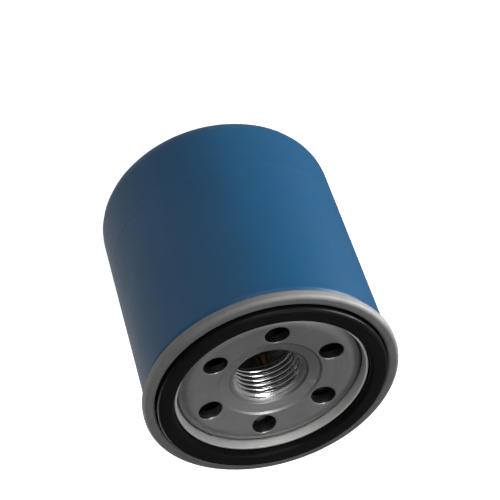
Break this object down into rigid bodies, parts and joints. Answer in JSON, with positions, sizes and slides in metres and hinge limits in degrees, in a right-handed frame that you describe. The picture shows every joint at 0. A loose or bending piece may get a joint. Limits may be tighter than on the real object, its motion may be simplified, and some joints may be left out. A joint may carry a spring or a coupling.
{
  "type": "oil filter",
  "caption": "Spin-on oil filter: drawn blue can, rolled seam, rubber sealing gasket, threaded plate with inlet holes, pleated element, anti-drain valve and bypass valve.",
  "frame": {"origin": "centre of the can's closed end, which the filter stands on", "axes": "+Z along the filter's axis, from the closed end towards the thread and gasket; the first inlet hole is 13 degrees from +X"},
  "size_m": [0.068, 0.068, 0.0727],
  "materials": {
    "blue_paint": "satin baked enamel",
    "plated_lid": "zinc plated, pressed",
    "plated_plate": "dull zinc plated, stamped",
    "nitrile": "moulded, lightly oiled",
    "valve_rubber": "moulded, matt",
    "compound": "set sealing compound",
    "tinplate": "bright tinplate",
    "filter_paper": "resin-treated pleated paper",
    "plastisol": "set plastisol",
    "spring_steel": "oiled spring wire"
  },
  "bodies": {
    "shell": {"can": "blue_paint", "seaming_lid": "plated_lid", "seam_compound": "compound", "base_plate": "plated_plate", "sealing_gasket": "nitrile"},
    "antidrain_lip": {"antidrain_valve": "valve_rubber"},
    "element": {"upper_end_cap": "tinplate", "upper_adhesive": "plastisol", "filter_media": "filter_paper", "media_clip": "tinplate", "centre_tube": "tinplate", "lower_adhesive": "plastisol", "lower_end_cap": "tinplate", "bypass_cage": "tinplate", "spring_cup": "tinplate", "element_spring": "spring_steel"},
    "bypass_valve": {"bypass_disc": "tinplate", "bypass_seal": "valve_rubber", "bypass_stem": "spring_steel", "stem_retainer": "spring_steel", "bypass_spring": "spring_steel"}
  },
  "joints": [
    {"name": "antidrain_lift", "type": "slide", "parent": "shell", "child": "antidrain_lip", "axis": [0, 0, -1], "range_m": [0, 0.0015], "stiffness_N_per_m": 400, "deforming": ["antidrain_valve"]},
    {"name": "element_float", "type": "slide", "parent": "shell", "child": "element", "axis": [0, 0, -1], "range_m": [0, 0.001], "stiffness_N_per_m": 12000, "springref_m": -0.006, "deforming": ["element_spring"]},
    {"name": "bypass_lift", "type": "slide", "parent": "element", "child": "bypass_valve", "axis": [0, 0, 1], "range_m": [0, 0.003], "stiffness_N_per_m": 2500, "springref_m": -0.006, "deforming": ["bypass_spring"]}
  ]
}
